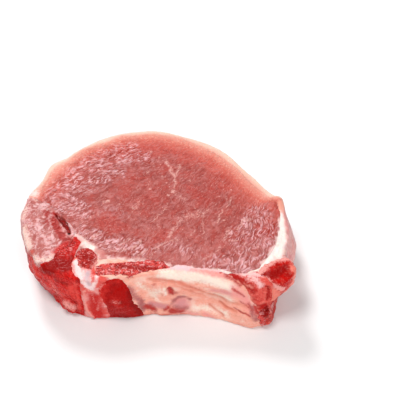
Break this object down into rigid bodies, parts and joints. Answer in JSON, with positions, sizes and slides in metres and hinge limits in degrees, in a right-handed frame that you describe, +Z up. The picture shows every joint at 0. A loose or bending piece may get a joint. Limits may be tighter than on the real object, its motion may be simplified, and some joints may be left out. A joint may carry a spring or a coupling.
{
  "type": "bone-in pork loin chop",
  "caption": "Raw bone-in pork loin chop lying on a cut face: pink loin eye with a thin fat rim, sawn backbone, curved rib and red rib-side meat.",
  "frame": {"origin": "middle of the surrounding box at the flat lower cut face, on the surface it lies on", "axes": "+X along the chop's length towards the rib's end, +Y towards the rounded fat-covered side, +Z up out of the upper cut face"},
  "size_m": [0.1248, 0.0982, 0.0296],
  "materials": {
    "loin_eye": "moist raw lean meat, pink-red with fine pale marbling",
    "spine_muscle": "moist pale pink raw meat with fat seams",
    "fat_cap": "moist white to cream fat",
    "arch_bone": "sawn spongy bone, deep red",
    "process_bone": "sawn spongy bone, deep red",
    "vertebra_bone": "smooth dark red sawn backbone",
    "canal_lining": "white to grey-pink gristle with red streaks",
    "rib_bone": "red grainy marrow in a pale bone edge",
    "rib_lining": "cream fat and glossy membrane with pink streaks",
    "intercostal_meat": "moist red meat with pale streaks",
    "flank_meat": "moist dark red meat with a pale edge"
  },
  "bodies": {
    "root": {"rib_bone": "rib_bone", "loin_eye": "loin_eye", "spine_muscle": "spine_muscle", "process_bone": "process_bone", "vertebra_bone": "vertebra_bone", "canal_lining": "canal_lining", "arch_bone": "arch_bone", "flank_meat": "flank_meat", "intercostal_meat": "intercostal_meat", "rib_lining": "rib_lining", "fat_cap": "fat_cap"}
  },
  "joints": []
}
